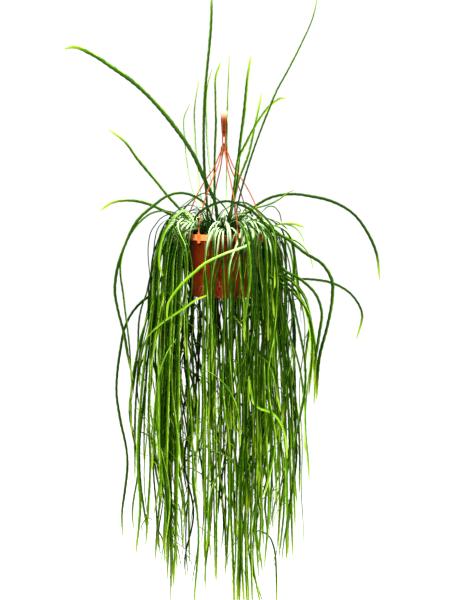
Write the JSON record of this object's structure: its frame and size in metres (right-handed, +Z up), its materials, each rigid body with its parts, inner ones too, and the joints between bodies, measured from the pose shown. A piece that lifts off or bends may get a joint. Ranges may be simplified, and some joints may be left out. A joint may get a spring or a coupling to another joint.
{
  "type": "potted lepismium bolivianum",
  "caption": "Trailing cactus with long flat scalloped green stems in a tapered plastic pot, hung by thin strands from a flat plastic hook.",
  "frame": {"origin": "the seat of the hook, where the weight hangs, inside the top of its bend", "axes": "+Z up through the pot's axis, -Y towards the viewer of the picture, +X to the viewer's right"},
  "size_m": [0.6432, 0.2859, 1.2317],
  "materials": {
    "pot_plastic": "satin",
    "soil": "matte",
    "hanger_plastic": "satin",
    "stem": "satin"
  },
  "bodies": {
    "root": {"pot": "pot_plastic", "soil": "soil", "hanger_hook": "hanger_plastic", "hanger_strand_1": "hanger_plastic", "hanger_strand_2": "hanger_plastic", "hanger_strand_3": "hanger_plastic", "hanger_strand_4": "hanger_plastic", "hanger_strand_5": "hanger_plastic", "hanger_strand_6": "hanger_plastic", "stem_clump_01": "stem", "stem_clump_02": "stem", "stem_clump_03": "stem", "stem_clump_04": "stem", "stem_clump_05": "stem", "stem_clump_06": "stem", "stem_clump_07": "stem", "stem_clump_08": "stem", "stem_clump_09": "stem", "stem_clump_10": "stem", "stem_clump_11": "stem", "stem_clump_12": "stem", "stem_clump_13": "stem", "stem_clump_14": "stem", "stem_clump_15": "stem", "stem_clump_16": "stem", "stem_clump_17": "stem", "upright_stem_01": "stem", "upright_stem_02": "stem", "upright_stem_03": "stem", "upright_stem_04": "stem", "upright_stem_05": "stem", "upright_stem_06": "stem", "upright_stem_07": "stem", "upright_stem_08": "stem", "upright_stem_09": "stem"}
  },
  "joints": []
}
